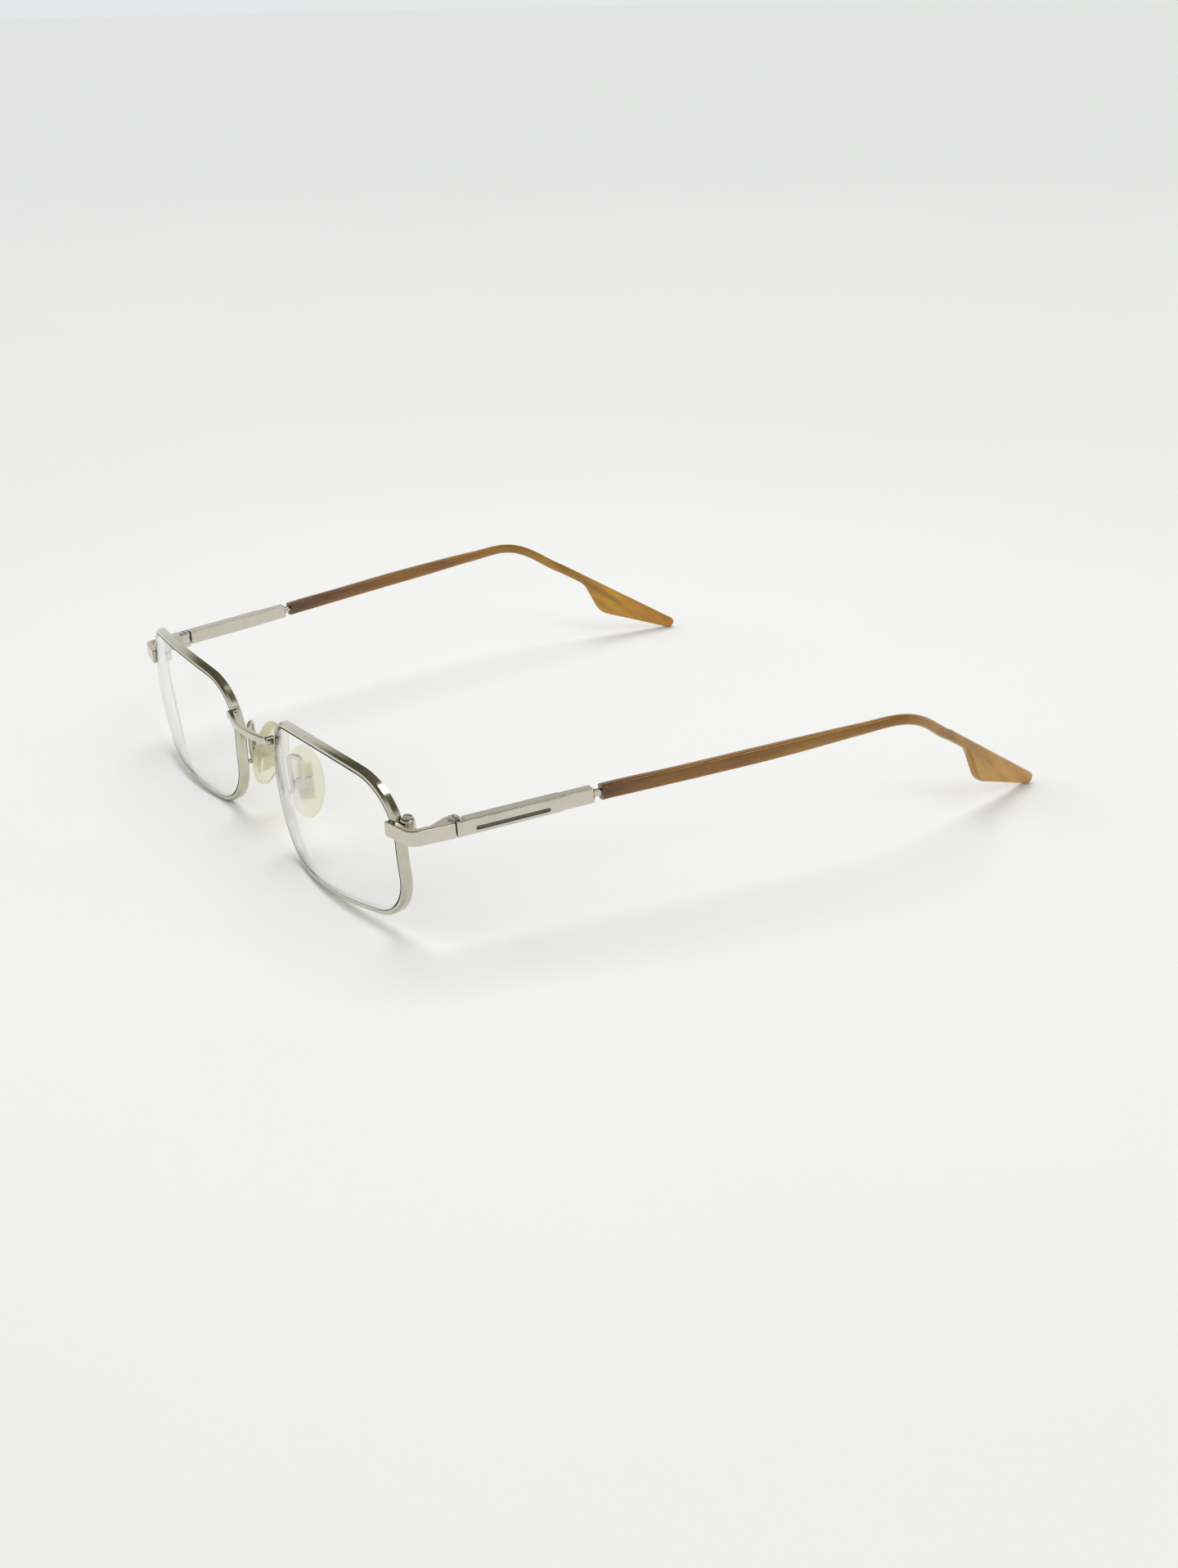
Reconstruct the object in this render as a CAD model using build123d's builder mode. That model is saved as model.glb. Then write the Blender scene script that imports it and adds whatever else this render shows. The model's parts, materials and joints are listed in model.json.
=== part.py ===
from build123d import *
import math
import os

os.makedirs("parts", exist_ok=True)

# Square metal eyeglasses with spring hinges, standing open on their rims and temple tips.
# X runs across, with the wearer's left at +X. Y runs from the front to the temple tips.
# Z is up from the surface that the frame stands on. Lengths are in millimetres, angles in degrees.

# Lens outline, in the plane of one lens, from the lens centre. Its corner radii are shares of its height.
lens_width = 48.8
lens_height = 29.9
between_lenses = 19.3
nasal_overreach = 0.7
nasal_lean = 2.7
temporal_overreach = 0.2
temporal_lean = 0.6
top_drop_nasal = 4.15
top_drop_temporal = 3.2
bottom_rise_temporal = 2.75
bottom_overreach = 0.45
top_bow = 3.5
temporal_bow = 0.23
bottom_bow = 0.5
nasal_bow = 0.45
nasal_top_share = 0.372
temporal_top_share = 0.39
temporal_bottom_share = 0.32
nasal_bottom_share = 0.401
lens_curve_radius = 72.0
lens_wrap = 1.95
lens_thickness = 1.6

# Eyewire, the grooved wire round a lens
rim_width = 1.0
rim_depth = 1.8
rim_edge = 0.38
rim_inner_edge = 0.22
groove_depth = 0.45
groove_width = 1.0
lens_fit = 0.1
rim_slit = 0.3
solder_sink = 0.2

# Closing barrels and their screw, which hold the eyewire shut
lock_radius = 1.3
lock_sink = 0.6
lock_edge = 0.5
lock_upper_height = 1.8
lock_lower_height = 2.0
lock_clearance = 0.06
lock_screw_radius = 0.5
lock_screw_fit = 0.03
lock_head_radius = 0.85
lock_head_height = 0.5

# End piece, the band that turns from the rim's face to the temple
band_height = 2.85
band_thickness = 1.4
band_inset = 1.3
band_turn_out = 6.0
band_turn_back = 1.1
band_turn_radius = 2.6
band_edge = 0.25

# Temple line, in plan from the middle of the nose and in level from the lens centres
temple_level = 5.6
splay = 6.4
gap_across = 65.5
gap_back = 12.1
hinge_gap = 0.3
box_length = 19.8
bar_length = 6.3
neck_length = 1.5
bow_share = 0.5
bow_out = 0.85
bend_across = 75.4
bend_back = 104.3
tip_across = 65.6
tip_back = 144.4
tip_drop = 27.2
bow_radius = 600.0
bend_radius = 17.0

# Spring box on the temple
box_height = 2.85
box_thickness = 2.6
box_edge = 0.3
slot_length = 14.0
slot_height = 0.75
slot_depth = 0.3
slot_from_front = 3.4
slot_drop = 0.4

# Hinge
hinge_inset = 2.25
hinge_behind_gap = 0.5
knuckle_radius = 1.25
knuckle_gap = 0.06
knuckle_clearance = 0.35
middle_knuckle_height = 1.2
middle_knuckle_relief = 0.05
leaf_length = 4.4
leaf_flat = 1.0
hinge_pin_radius = 0.6
pin_seat_fit = 0.02
pin_running_fit = 0.05
hinge_head_radius = 0.95
hinge_head_height = 0.4
screw_slot_width = 0.3
screw_slot_depth = 0.22

# Spring parts inside the box
slider_length = 4.2
slider_width = 1.3
slider_height = 1.6
slider_clearance = 0.06
slider_neck = 0.9
rod_radius = 0.4
rod_in_slider = 1.5
rod_head_radius = 0.6
rod_head_length = 0.7
stop_length = 1.0
stop_fit = 0.03
spring_wire_radius = 0.08
spring_radius = 0.56
spring_length = 5.8
spring_turns = 10
cavity_end_gap = 0.5

# Temple bar, its neck and the core wire
bar_thickness = 2.1
bar_edge = 0.3
tenon_height = 1.3
tenon_thickness = 1.0
tenon_length = 1.6
neck_radius = 0.72
core_radius = 0.6
core_fit = 0.03
core_reach = 33.0
core_dip_from = 20.0
core_dip = 1.2
core_dip_radius = 40.0

# Sleeve over the core wire, with the blade that ends it
sleeve_height = 2.8
sleeve_thickness = 2.25
sleeve_thin_height = 2.05
sleeve_thin_thickness = 1.8
sleeve_corner = 0.75
sleeve_section_shares = (0.0, 0.14, 0.28, 0.4, 0.52, 0.64, 0.74, 0.79, 0.84, 0.89, 1.0)
sleeve_full_share = 0.4
sleeve_thin_share = 0.78
blade_join = 15.0
heel_reach = 29.5
heel_depth = 5.7
heel_radius = 5.5
flare_run = 7.5
flare_radius = 5.5
toe_depth = 1.3
toe_radius = 1.1
blade_edge = 0.6

# Bridge
bridge_level_share = 0.2325
bridge_height = 1.5
bridge_depth = 1.3
bridge_bow = 1.5
bridge_edge = 0.35
lug_radius = 0.95
lug_length = 1.9
lug_edge = 0.35

# Nose pad, its core and its carrier
pad_across = 9.2
pad_behind_rim = 5.2
pad_level = -3.1
pad_width = 7.4
pad_height = 14.4
pad_thickness = 2.2
pad_edge = 0.8
pad_flare = 17.0
pad_splay = 25.0
pad_core_width = 3.0
pad_core_height = 7.0
pad_core_thickness = 0.6
boss_width = 1.7
boss_height = 1.5
pad_pivot_out = 2.2
pad_box_wall = 0.6
pad_box_height = 2.3
pad_box_gap = 0.3
pad_box_edge = 0.2
pad_cheek_gap = 0.07
pad_base_gap = 0.15
pad_screw_radius = 0.4
pad_head_radius = 0.7
pad_head_height = 0.45
arm_radius = 0.45
arm_start_level = -4.2
arm_start_run = 1.4
arm_loop_level = 3.4
arm_loop_radius = 1.0
arm_foot_radius = 0.8

# Lens outline
half_width = lens_width / 2
half_height = lens_height / 2
corners = {
    "nasal_top": (-half_width - nasal_overreach, half_height - top_drop_nasal),
    "temporal_top": (half_width + temporal_overreach - temporal_lean, half_height - top_drop_temporal),
    "temporal_bottom": (half_width + temporal_overreach, bottom_rise_temporal - half_height),
    "nasal_bottom": (-half_width - nasal_overreach + nasal_lean, -half_height - bottom_overreach),
}
corner_radii = {
    "nasal_top": lens_height * nasal_top_share,
    "temporal_top": lens_height * temporal_top_share,
    "temporal_bottom": lens_height * temporal_bottom_share,
    "nasal_bottom": lens_height * nasal_bottom_share,
}
side_bows = [top_bow, temporal_bow, bottom_bow, nasal_bow]
ends = [Vector(*corner) for corner in corners.values()]


def outline_grown(amount):
    """The lens outline grown all round by the amount, from one wide disc for each side."""
    with BuildSketch() as grown:
        for place, bow in enumerate(side_bows):
            first = ends[place]
            second = ends[(place + 1) % len(ends)]
            outward = (second - first).normalized().rotate(Axis.Z, 90)
            reach = (second - first).length ** 2 / (8 * bow) + bow / 2
            disc_middle = (first + second) / 2 + outward * (bow - reach)
            with Locations(Location(disc_middle, (0, 0, 45))):
                Circle(reach + amount, mode=Mode.INTERSECT if place else Mode.ADD)
        for corner, radius in corner_radii.items():
            near = grown.vertices().sort_by_distance(Vector(*corners[corner]))
            fillet(near[0], radius + amount)
    return grown.sketch


# The front follows a sphere whose middle is behind each lens
wrap = math.radians(lens_wrap)
lens_centre = (between_lenses + lens_width) / 2
rim_side_u = half_width - temporal_lean / 2


def on_front(u, v, out=0.0):
    """The point on the curved front at u across and v up in the lens plane, moved out to the front."""
    deep = (u * u + v * v) / (2 * lens_curve_radius) - out
    across = lens_centre + u * math.cos(wrap) - deep * math.sin(wrap)
    return Vector(across, u * math.sin(wrap) + deep * math.cos(wrap), v)


def nasal_side(v, out=0.0):
    """The point of the eyewire's middle line at v up on its nasal side."""
    top, bottom = ends[0], ends[3]
    share = (top.Y - v) / (top.Y - bottom.Y)
    u = top.X + (bottom.X - top.X) * share - 4 * nasal_bow * share * (1 - share)
    return on_front(u, v, out)


# The temple's middle line in plan, and the blade that ends it
turn = math.radians(splay)
up = Vector(0, 0, 1)
along = Vector(math.sin(turn), math.cos(turn), 0)
outside = Vector(math.cos(turn), -math.sin(turn), 0)
gap_face = Vector(gap_across, gap_back, temple_level)
hinge_axis = gap_face + along * hinge_behind_gap - outside * hinge_inset
box_start = gap_face + along * hinge_gap - outside * box_thickness / 2
bar_end = box_start + along * (box_length + bar_length)
bend_point = Vector(bend_across, bend_back, temple_level)
bow_point = bar_end + (bend_point - bar_end) * bow_share + outside * bow_out
tip_point = Vector(tip_across, tip_back, temple_level - tip_drop)
sleeve_start = bar_end + (bow_point - bar_end).normalized() * neck_length
blade_along = (tip_point - bend_point).normalized()
blade_side = blade_along.cross(up).normalized()
blade_up = blade_side.cross(blade_along)
blade_length = (tip_point - bend_point).length
sole_rise = math.atan2(heel_depth - toe_depth, blade_length - heel_reach)
toe_middle_drop = toe_depth - toe_radius * (1 - math.sin(sole_rise)) / math.cos(sole_rise)
toe_middle = tip_point - blade_along * toe_radius - blade_up * toe_middle_drop
toe = toe_middle - up * toe_radius

# The frame stands on the lowest point of each rim and on the blades' toes, which leans it forward
lens_outline = outline_grown(0).wire()
rim_line = [lens_outline @ (step / 180) for step in range(180)]
rim_feet = [on_front(point.X, point.Y) - up * rim_width / 2 for point in rim_line]
rim_foot = min(rim_feet, key=lambda foot: foot.Z)
lean = math.atan2(rim_foot.Z - toe.Z, toe.Y - rim_foot.Y)
foot_level = min(foot.Y * math.sin(lean) + foot.Z * math.cos(lean) for foot in rim_feet)
eye_level = (rim_depth / 2 - rim_edge) * math.sin(lean) - foot_level
front_reach = lens_curve_radius * (1 - math.cos(wrap) * math.cos(lean)) + lens_thickness / 2
nose_middle = tip_point - blade_along * toe_radius + blade_up * (sleeve_thin_height / 2 - toe_radius)
back_reach = nose_middle.Y * math.cos(lean) - nose_middle.Z * math.sin(lean) + toe_radius
middle_back = (back_reach - front_reach) / 2
level = Plane(
    origin=(0, -middle_back, eye_level),
    x_dir=(1, 0, 0),
    z_dir=(0, -math.sin(lean), math.cos(lean)),
)


def spot(point):
    return level.from_local_coords(point)


def heading(direction):
    return spot(direction) - level.origin


def placed_plane(origin, x_dir, z_dir):
    return Plane(origin=spot(origin), x_dir=heading(x_dir), z_dir=heading(z_dir))


def slotted_screw(plane, head_radius, head_height, shaft_radius, shaft_length):
    """A slotted screw whose head stands on the plane, with its shaft below."""
    with BuildPart() as screw:
        with BuildSketch(plane):
            Circle(head_radius)
        extrude(amount=head_height)
        fillet(screw.faces().sort_by(Axis(plane.origin, plane.z_dir))[-1].edges(), head_height / 3)
        with BuildSketch(plane):
            Circle(shaft_radius)
        extrude(amount=-shaft_length)
        with BuildSketch(plane.offset(head_height)):
            Rectangle(head_radius * 3, screw_slot_width)
        extrude(amount=-screw_slot_depth, mode=Mode.SUBTRACT)
    return screw


left = {}

# Rim and lens
lens_plane = placed_plane(
    Vector(lens_centre, 0, 0),
    Vector(math.cos(wrap), math.sin(wrap), 0),
    Vector(math.sin(wrap), -math.cos(wrap), 0),
)
curve_middle = (0, 0, -lens_curve_radius)
blank_depth = rim_depth * 2 + (half_width**2 + half_height**2) / lens_curve_radius


def curved_slab(amount, thickness):
    """A slab with the lens outline grown by the amount, curved as the front is."""
    with BuildPart(lens_plane) as slab:
        with BuildSketch(lens_plane.offset(rim_depth)):
            add(outline_grown(amount))
        extrude(amount=-blank_depth)
        with Locations(curve_middle):
            Sphere(lens_curve_radius + thickness / 2, rotation=(90, 0, 0), mode=Mode.INTERSECT)
            Sphere(lens_curve_radius - thickness / 2, rotation=(90, 0, 0), mode=Mode.SUBTRACT)
    return slab.part


with BuildPart(lens_plane) as rim_blank:
    with BuildSketch(lens_plane.offset(rim_depth)):
        add(outline_grown(rim_width / 2))
    extrude(amount=-blank_depth)
    with Locations(curve_middle):
        Sphere(lens_curve_radius + rim_depth / 2, rotation=(90, 0, 0), mode=Mode.INTERSECT)
        Sphere(lens_curve_radius - rim_depth / 2, rotation=(90, 0, 0), mode=Mode.SUBTRACT)
    chamfer([edge for edge in rim_blank.edges() if edge.length > rim_depth * 1.5], rim_edge)
    with BuildSketch(lens_plane.offset(rim_depth)):
        add(outline_grown(-rim_width / 2))
    extrude(amount=-blank_depth, mode=Mode.SUBTRACT)
    inner_edges = [edge for edge in rim_blank.edges(Select.LAST) if edge.length > rim_depth * 1.5]
    chamfer(inner_edges, rim_inner_edge)
    with Locations((rim_side_u, temple_level)):
        Box(rim_width * 4, rim_slit, blank_depth * 2, mode=Mode.SUBTRACT)
with BuildPart() as rim:
    add(rim_blank.part)
    add(curved_slab(groove_depth - rim_width / 2, groove_width), mode=Mode.SUBTRACT)
left["rim"] = rim

with BuildPart() as lens:
    add(curved_slab(-rim_width / 2 - lens_fit, lens_thickness))
    add(curved_slab(groove_depth - rim_width / 2 - lens_fit, groove_width - 2 * lens_fit))
left["lens"] = lens

# Hinge plane, square to the temple, with the pin's axis at its middle
hinge_plane = placed_plane(hinge_axis, outside, up)
pin_line = Axis(hinge_plane.origin, hinge_plane.z_dir)
knuckle_slot_height = middle_knuckle_height + 2 * knuckle_gap
leaf_face = -hinge_behind_gap

# End piece, soldered on the rim's face
rim_side = on_front(rim_side_u, temple_level, rim_depth / 2 - solder_sink)
band_front = rim_side.Y - band_thickness
band_turn = Vector(rim_side.X + band_turn_out, band_front + band_turn_back)
with BuildPart() as end_piece:
    with BuildSketch(level.offset(temple_level - band_height / 2)):
        with BuildLine():
            FilletPolyline(
                (rim_side.X - band_inset, band_front),
                (band_turn.X, band_turn.Y),
                (gap_face.X, gap_face.Y),
                radius=band_turn_radius,
            )
            offset(amount=band_thickness, side=Side.LEFT)
        make_face()
    extrude(amount=band_height)
    fillet(end_piece.edges().filter_by(pin_line, reverse=True), band_edge)
    add(rim.part, mode=Mode.SUBTRACT)
    add(curved_slab(0, rim_depth), mode=Mode.SUBTRACT)
    with BuildSketch(hinge_plane.offset(-knuckle_slot_height / 2)):
        Circle(knuckle_radius + knuckle_gap)
    extrude(amount=knuckle_slot_height, mode=Mode.SUBTRACT)
left["end_piece"] = end_piece

# Closing barrels, soldered on the outer side of the rim above and below its slit
lock_axis = Vector(
    rim_side.X + rim_width / 2 + lock_radius - lock_sink,
    band_front + band_turn_back / 2 + band_thickness + lock_clearance + lock_radius,
    temple_level,
)
lock_spans = {
    "rim_lock_upper": (rim_slit / 2, lock_upper_height),
    "rim_lock_lower": (-rim_slit / 2, -lock_lower_height),
}
for name, (lock_start, lock_height) in lock_spans.items():
    lock_plane = placed_plane(lock_axis + up * lock_start, Vector(1, 0, 0), up)
    with BuildPart() as barrel:
        with BuildSketch(lock_plane):
            Circle(lock_radius)
        extrude(amount=lock_height)
        rings = barrel.edges().filter_by(GeomType.CIRCLE)
        fillet(rings.sort_by_distance(lock_plane.offset(lock_height).origin)[0], lock_edge)
        with BuildSketch(lock_plane):
            Circle(lock_screw_radius + lock_screw_fit)
        extrude(amount=lock_height, mode=Mode.SUBTRACT)
        add(rim_blank.part, mode=Mode.SUBTRACT)
    left[name] = barrel
lock_top = rim_slit / 2 + lock_upper_height
lock_screw_plane = placed_plane(lock_axis + up * lock_top, Vector(1, 1, 0), up)
lock_screw_length = lock_top + lock_lower_height
left["rim_lock_screw"] = slotted_screw(
    lock_screw_plane, lock_head_radius, lock_head_height, lock_screw_radius, lock_screw_length
)

# Front hinge leaf, a fork of two knuckles soldered inside the end piece
band_inner = hinge_inset - band_thickness
with BuildPart() as hinge_front:
    with BuildSketch(hinge_plane.offset(-band_height / 2)):
        with BuildLine():
            Polyline(
                (-knuckle_radius, 0),
                (-knuckle_radius, -leaf_flat),
                (band_inner - solder_sink, -leaf_length),
                (band_inner + solder_sink, -leaf_length),
                (band_inner + solder_sink, leaf_face),
                (knuckle_radius / 2, 0),
                close=True,
            )
        make_face()
        Circle(knuckle_radius)
        Circle(hinge_pin_radius + pin_seat_fit, mode=Mode.SUBTRACT)
    extrude(amount=band_height)
    with BuildSketch(hinge_plane.offset(-knuckle_slot_height / 2)):
        Circle(knuckle_radius + knuckle_gap)
        with Locations((0, knuckle_radius)):
            Rectangle(knuckle_radius * 4, knuckle_radius * 2)
    extrude(amount=knuckle_slot_height, mode=Mode.SUBTRACT)
    add(end_piece.part, mode=Mode.SUBTRACT)
left["hinge_front"] = hinge_front
left["hinge_screw"] = slotted_screw(
    hinge_plane.offset(band_height / 2),
    hinge_head_radius,
    hinge_head_height,
    hinge_pin_radius,
    band_height,
)

# Spring slider. Its knuckle turns in the fork and its body slides in the temple's box.
box_middle = hinge_inset - box_thickness / 2
slider_start = knuckle_radius + knuckle_clearance
slider_end = slider_start + slider_length
slider_inner = box_middle - slider_width / 2
with BuildPart() as hinge_slider:
    with BuildSketch(hinge_plane.offset(-middle_knuckle_height / 2)):
        Circle(knuckle_radius - middle_knuckle_relief)
        with Locations((slider_inner, 0)):
            Rectangle(slider_neck, slider_start + slider_neck, align=(Align.MIN, Align.MIN))
        Circle(hinge_pin_radius + pin_running_fit, mode=Mode.SUBTRACT)
    extrude(amount=middle_knuckle_height)
    with BuildSketch(hinge_plane.offset(-slider_height / 2)):
        with Locations((box_middle, slider_start)):
            Rectangle(slider_width, slider_length, align=(Align.CENTER, Align.MIN))
    extrude(amount=slider_height)
    slider_back = placed_plane(hinge_axis + outside * box_middle + along * slider_end, outside, along)
    with BuildSketch(slider_back):
        Circle(rod_radius + stop_fit)
    extrude(amount=-rod_in_slider, mode=Mode.SUBTRACT)
left["hinge_slider"] = hinge_slider

# Rod, screwed into the slider, whose head pulls on the spring
stop_start = slider_end + slider_clearance
stop_end = stop_start + stop_length
spring_start = stop_end + stop_fit
rod_head_start = spring_start + spring_length + 2 * stop_fit
rod_end = rod_head_start + rod_head_length
with BuildPart() as spring_rod:
    with BuildSketch(slider_back.offset(-rod_in_slider)):
        Circle(rod_radius)
    extrude(amount=rod_in_slider + rod_head_start - slider_end)
    with BuildSketch(slider_back.offset(rod_head_start - slider_end)):
        Circle(rod_head_radius)
    extrude(amount=rod_head_length)
left["spring_rod"] = spring_rod

# Stop, a collar fixed across the box that the spring pushes on
cavity_width = slider_width + 2 * slider_clearance
cavity_height = slider_height + 2 * slider_clearance
with BuildPart() as spring_stop:
    with BuildSketch(slider_back.offset(stop_start - slider_end)):
        Rectangle(cavity_width - 2 * stop_fit, cavity_height - 2 * stop_fit)
        Circle(rod_radius + pin_running_fit, mode=Mode.SUBTRACT)
    extrude(amount=stop_length)
left["spring_stop"] = spring_stop

# Spring, one coil from the stop to the rod's head
spring_plane = slider_back.offset(spring_start + spring_wire_radius - slider_end)
spring_rise = spring_length - 2 * spring_wire_radius
with BuildPart() as hinge_spring:
    with BuildLine() as coil:
        Helix(
            pitch=spring_rise / spring_turns,
            height=spring_rise,
            radius=spring_radius,
            center=spring_plane.origin,
            direction=spring_plane.z_dir,
        )
    with BuildSketch(Plane(origin=coil.line @ 0, z_dir=coil.line % 0)):
        Circle(spring_wire_radius)
    sweep(path=coil.line, is_frenet=True)
left["hinge_spring"] = hinge_spring

# Spring box, hollow for the slider and open at its front
box_front = hinge_gap - hinge_behind_gap
box_rear = box_front + box_length
cavity_end = rod_end + cavity_end_gap
with BuildPart() as spring_box:
    with BuildSketch(hinge_plane.offset(-box_height / 2)):
        with Locations((box_middle, box_front)):
            Rectangle(box_thickness, box_length, align=(Align.CENTER, Align.MIN))
    extrude(amount=box_height)
    box_line = Axis(slider_back.origin, slider_back.z_dir)
    fillet(spring_box.edges().filter_by(box_line), box_edge)
    with BuildSketch(hinge_plane.offset(-cavity_height / 2)):
        with Locations((box_middle, box_front)):
            Rectangle(cavity_width, cavity_end - box_front, align=(Align.CENTER, Align.MIN))
    extrude(amount=cavity_height, mode=Mode.SUBTRACT)
    with BuildSketch(hinge_plane.offset(-box_height / 2)):
        with Locations((box_middle + cavity_width / 2, box_front)):
            Rectangle(box_thickness, slider_start - box_front, align=(Align.MAX, Align.MIN))
    extrude(amount=box_height, mode=Mode.SUBTRACT)
    tenon_floor = slider_back.offset(box_rear - slider_end)
    with BuildSketch(tenon_floor):
        Rectangle(tenon_thickness + 2 * stop_fit, tenon_height + 2 * stop_fit)
    extrude(amount=-tenon_length - stop_fit, mode=Mode.SUBTRACT)
    slot_plane = placed_plane(hinge_axis + outside * hinge_inset - up * slot_drop, along, outside)
    with BuildSketch(slot_plane):
        with Locations((box_front + slot_from_front + slot_length / 2, 0)):
            SlotOverall(slot_length, slot_height)
    extrude(amount=-slot_depth, mode=Mode.SUBTRACT)
left["spring_box"] = spring_box


def temple_line(start, finish):
    """The line of the core wire from a start on its first run to a finish past the bend."""
    with BuildLine() as line:
        FilletPolyline(
            spot(start), spot(bow_point), spot(bend_point), spot(finish),
            radius=[bow_radius, bend_radius],
        )
    return line.line


def core_wire(start, radius, reach):
    """A wire of the given radius along the temple, ending at the reach past the bend."""
    dip_start = bend_point + blade_along * core_dip_from
    dip_end = bend_point + blade_along * core_reach - blade_up * core_dip
    finish = dip_end + (dip_end - dip_start).normalized() * reach
    with BuildPart() as wire:
        with BuildLine() as line:
            FilletPolyline(
                spot(start), spot(bow_point), spot(bend_point), spot(dip_start), spot(finish),
                radius=[bow_radius, bend_radius, core_dip_radius],
            )
        with BuildSketch(Plane(origin=line.line @ 0, z_dir=line.line % 0)):
            Circle(radius)
        sweep(path=line.line)
    return wire.part


# Temple bar, with a tenon in the box, a neck and the core wire in one piece
with BuildPart() as temple_bar:
    with BuildSketch(tenon_floor):
        Rectangle(bar_thickness, box_height)
    extrude(amount=bar_length)
    bar_back = temple_bar.faces().sort_by(box_line)[-1]
    chamfer(bar_back.edges(), bar_edge)
    fillet(temple_bar.edges().filter_by(box_line), bar_edge)
    with BuildSketch(tenon_floor):
        Rectangle(tenon_thickness, tenon_height)
    extrude(amount=-tenon_length)
    neck_along = heading(sleeve_start - bar_end)
    with BuildSketch(Plane(origin=spot(bar_end) - neck_along / 8, z_dir=neck_along)):
        Circle(neck_radius)
    extrude(amount=neck_length * 9 / 8)
    add(core_wire(bar_end, core_radius, 0))
left["temple_bar"] = temple_bar

# Blade that ends the sleeve, flat on its sides and spread below its top edge
half_thin = sleeve_thin_height / 2
blade_plane = placed_plane(bend_point, blade_along, blade_side)
blade_corners = {
    (heel_reach - flare_run, -half_thin): flare_radius,
    (heel_reach, -heel_depth): heel_radius,
    (blade_length, -toe_depth): toe_radius,
    (blade_length, half_thin): toe_radius,
}
blade_start = blade_join - half_thin
with BuildPart() as blade:
    with BuildSketch(blade_plane) as blade_side_view:
        Polygon(
            (blade_start, half_thin),
            (blade_start, -half_thin),
            *blade_corners,
            align=None,
        )
        for corner, radius in blade_corners.items():
            fillet(blade_side_view.vertices().sort_by_distance(Vector(*corner))[0], radius)
    extrude(amount=sleeve_thin_thickness / 2, both=True)
    fillet(blade.edges().filter_by(Axis(blade_plane.origin, blade_plane.z_dir), reverse=True), blade_edge)

# Sleeve, full over its straight run, thin round the bend and one with its blade
with BuildPart() as temple_sleeve:
    sleeve_line = temple_line(sleeve_start, bend_point + blade_along * blade_join)
    for share in sleeve_section_shares:
        thinned = min(max((share - sleeve_full_share) / (sleeve_thin_share - sleeve_full_share), 0), 1)
        eased = thinned * thinned * (3 - 2 * thinned)
        height = sleeve_height + (sleeve_thin_height - sleeve_height) * eased
        thickness = sleeve_thickness + (sleeve_thin_thickness - sleeve_thickness) * eased
        forward = sleeve_line % share
        across = forward.cross(level.z_dir)
        with BuildSketch(Plane(origin=sleeve_line @ share, x_dir=across, z_dir=forward)):
            RectangleRounded(thickness, height, sleeve_corner)
    loft()
    add(blade.part)
    add(core_wire(bar_end, core_radius + core_fit, core_fit * 4), mode=Mode.SUBTRACT)
left["temple_sleeve"] = temple_sleeve

# Nose pad, turned to lie on the side of the nose
pad_turn = math.radians(pad_splay)
pad_tilt = math.radians(pad_flare)
pad_side = Vector(math.cos(pad_turn), -math.sin(pad_turn), 0)
pad_fore = Vector(math.sin(pad_turn), math.cos(pad_turn), 0)
pad_out = pad_side * math.cos(pad_tilt) + up * math.sin(pad_tilt)
pad_middle = Vector(pad_across, nasal_side(pad_level).Y + pad_behind_rim, pad_level)
pad_plane = placed_plane(pad_middle, pad_fore, pad_out)
with BuildPart() as pad_core:
    with BuildSketch(pad_plane.offset(-pad_core_thickness / 2)):
        Rectangle(pad_core_width, pad_core_height)
    extrude(amount=pad_core_thickness)
    with BuildSketch(pad_plane):
        Rectangle(boss_width, boss_height)
    extrude(amount=pad_pivot_out + boss_height / 2)
    boss_top = pad_core.faces().sort_by(Axis(pad_plane.origin, pad_plane.z_dir))[-1]
    fillet(boss_top.edges().filter_by(Axis(pad_plane.origin, pad_plane.x_dir)), boss_height * 0.45)
with BuildPart() as nose_pad:
    with BuildSketch(pad_plane.offset(-pad_thickness / 2)):
        Ellipse(pad_width / 2, pad_height / 2)
    extrude(amount=pad_thickness)
    fillet(nose_pad.edges(), pad_edge)
    add(pad_core.part, mode=Mode.SUBTRACT)
left["nose_pad"] = nose_pad

cheek_width = boss_width + 2 * pad_cheek_gap + 2 * pad_box_wall
pivot_plane = placed_plane(
    pad_middle + pad_out * pad_pivot_out - pad_fore * cheek_width / 2,
    up,
    -pad_fore,
)
with BuildPart() as pad_core_bored:
    add(pad_core.part)
    with BuildSketch(pivot_plane):
        Circle(pad_screw_radius + pin_running_fit)
    extrude(amount=-cheek_width, mode=Mode.SUBTRACT)
left["pad_core"] = pad_core_bored

# Pad box, two cheeks and a back round the pad's boss, and the screw that it pivots on
pad_box_start = pad_thickness / 2 + pad_box_gap
pad_base_start = pad_pivot_out + boss_height / 2 + pad_base_gap
with BuildPart() as pad_box:
    with BuildSketch(pad_plane.offset(pad_box_start)):
        Rectangle(cheek_width, pad_box_height)
    extrude(amount=pad_base_start + pad_box_wall - pad_box_start)
    fillet(pad_box.edges().filter_by(Axis(pad_plane.origin, pad_plane.x_dir)), pad_box_edge)
    with BuildSketch(pad_plane.offset(pad_box_start)):
        Rectangle(boss_width + 2 * pad_cheek_gap, pad_box_height * 2)
    extrude(amount=pad_base_start - pad_box_start, mode=Mode.SUBTRACT)
    with BuildSketch(pivot_plane):
        Circle(pad_screw_radius + pin_seat_fit)
    extrude(amount=-cheek_width, mode=Mode.SUBTRACT)
left["pad_box"] = pad_box
left["pad_screw"] = slotted_screw(
    pivot_plane, pad_head_radius, pad_head_height, pad_screw_radius, cheek_width
)

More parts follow.
